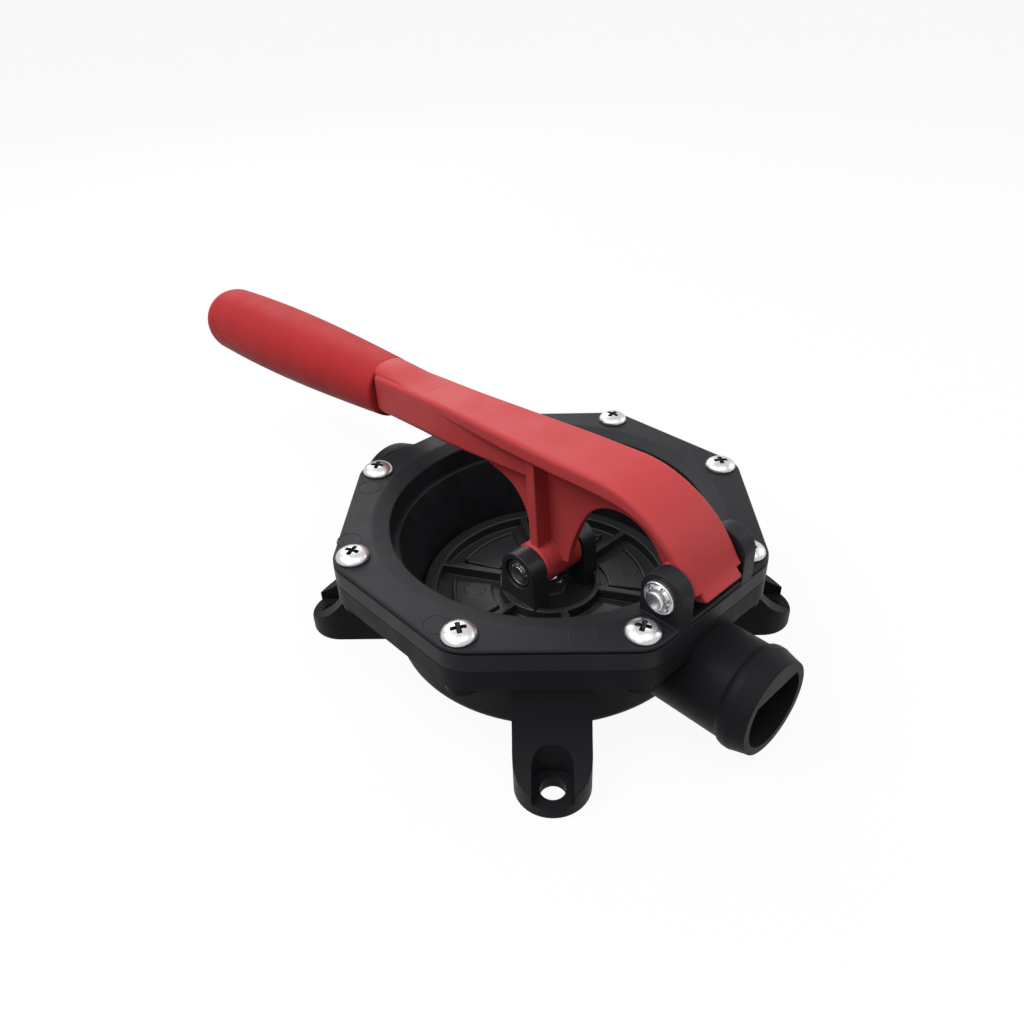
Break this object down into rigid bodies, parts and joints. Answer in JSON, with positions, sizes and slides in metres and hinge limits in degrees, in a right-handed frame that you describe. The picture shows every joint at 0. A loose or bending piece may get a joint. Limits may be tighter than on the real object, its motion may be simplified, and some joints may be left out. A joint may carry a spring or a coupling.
{
  "type": "manual bilge pump",
  "caption": "Hand-lever diaphragm bilge pump: bowl housing on slotted feet, opposed hose tails, octagonal clamp ring, ribbed plate in a rubber cup.",
  "frame": {"origin": "centre of the circle of the four fixing holes, on the mounting face under the feet", "axes": "+X along the outlet tail, towards the lever's pivot; +Z out of the mounting face, towards the lever; the lever and both tails lie in the plane y = 0"},
  "size_m": [0.3204, 0.141, 0.08],
  "materials": {
    "black_plastic": "moulded, fine grained",
    "red_plastic": "moulded, satin",
    "grip_red": "soft moulded, dull satin",
    "screw_steel": "bright zinc",
    "pin_steel": "turned, bright",
    "black_rubber": "smooth dull"
  },
  "bodies": {
    "pump": {"pump_body": "black_plastic", "clamp_ring": "black_plastic", "clamp_screws": "screw_steel", "diaphragm": "black_rubber", "fulcrum_pin": "pin_steel", "fulcrum_caps": "screw_steel", "inlet_cage": "black_plastic", "inlet_flap_pin": "pin_steel", "outlet_cage": "black_plastic", "outlet_flap_pin": "pin_steel", "cage_seals": "black_rubber"},
    "handle": {"handle_lever": "red_plastic", "handle_grip": "grip_red"},
    "plate": {"diaphragm_plate": "black_plastic", "inner_plate": "black_plastic", "plate_screw": "screw_steel", "plate_washer": "screw_steel", "plate_nut": "screw_steel", "clevis_pin": "pin_steel", "clevis_clips": "screw_steel"},
    "inlet_valve": {"inlet_flap": "black_rubber"},
    "outlet_valve": {"outlet_flap": "black_rubber"}
  },
  "joints": [
    {"name": "handle_hinge", "type": "hinge", "parent": "pump", "child": "handle", "pos_m": [0.063, 0, 0.0575], "axis": [0, 1, 0], "range_deg": [0, 20], "deforming": ["diaphragm"]},
    {"name": "plate_hinge", "type": "hinge", "parent": "handle", "child": "plate", "pos_m": [0, 0, 0.0294], "axis": [0, 1, 0], "range_deg": [-20, 0]},
    {"name": "inlet_flap_hinge", "type": "hinge", "parent": "pump", "child": "inlet_valve", "pos_m": [-0.06195, 0, 0.03015], "axis": [0, -1, 0], "range_deg": [0, 30]},
    {"name": "outlet_flap_hinge", "type": "hinge", "parent": "pump", "child": "outlet_valve", "pos_m": [0.05745, 0, 0.03015], "axis": [0, -1, 0], "range_deg": [0, 30]}
  ],
  "couplings": [
    {"joint": "plate_hinge", "follows": "handle_hinge", "ratio": -1}
  ]
}
